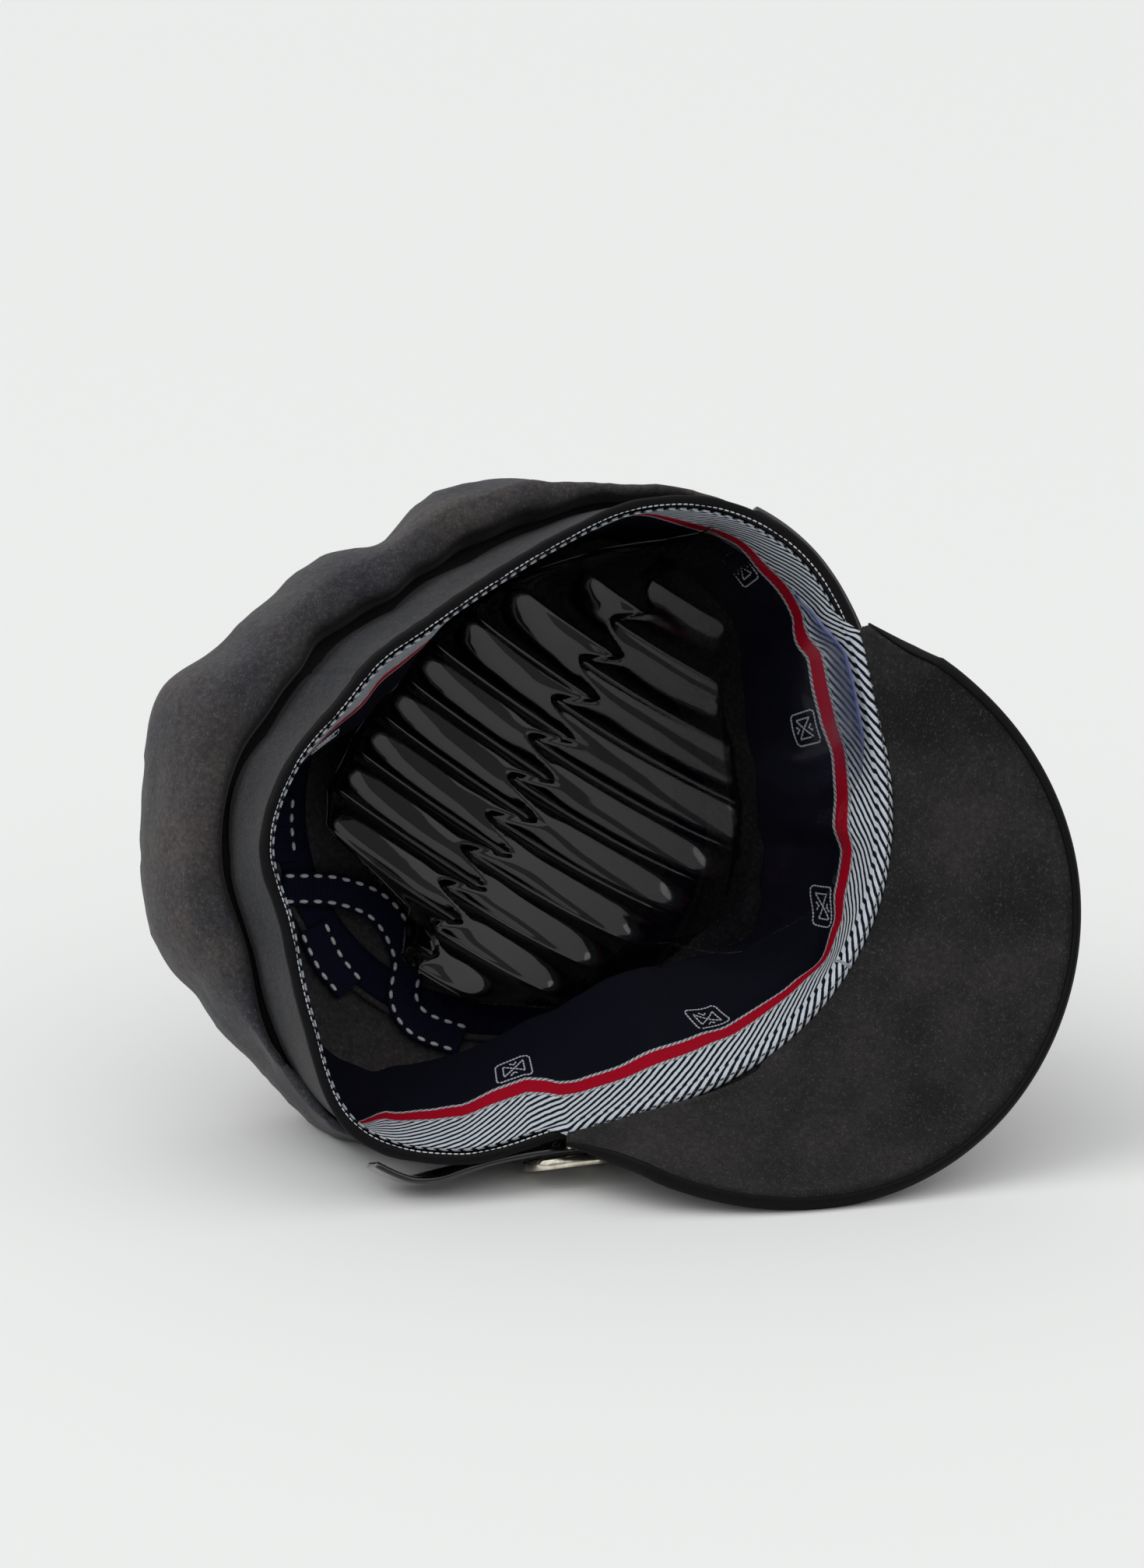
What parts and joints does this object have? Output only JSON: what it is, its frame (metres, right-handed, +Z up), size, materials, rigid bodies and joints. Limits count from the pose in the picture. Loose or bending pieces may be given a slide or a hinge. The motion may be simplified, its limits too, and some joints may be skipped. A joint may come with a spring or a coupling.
{
  "type": "soft marine cap",
  "caption": "Soft marine cap with a puffed crown, upright band, stiff peak, strap with a slide, sweatband and clear pleated film, lying on its side with the opening forwards.",
  "frame": {"origin": "centre of the footprint, on the surface that the cap lies on", "axes": "+Z up, -Y the way the head opening faces, +X towards the peak"},
  "size_m": [0.2664, 0.1708, 0.1808],
  "materials": {
    "cloth": "charcoal woven cloth with fine paler fibres",
    "edging": "black satin edging",
    "ribbon": "diagonally striped woven ribbon with a red stripe and a navy edge",
    "tape": "navy ribbed tape with pale stitches",
    "strap": "black patent leather",
    "metal": "polished champagne-coloured metal",
    "film": "clear glossy pleated film"
  },
  "bodies": {
    "root": {"crown_side": "cloth", "crown_top": "cloth", "band": "cloth", "rim_edging": "edging", "sweatband": "ribbon", "peak": "cloth", "peak_trim": "edging", "strap": "strap", "slide": "metal", "crown_film": "film", "tape_ring": "tape", "tape_back": "tape", "tape_cross": "tape", "tape_loose": "tape"}
  },
  "joints": []
}
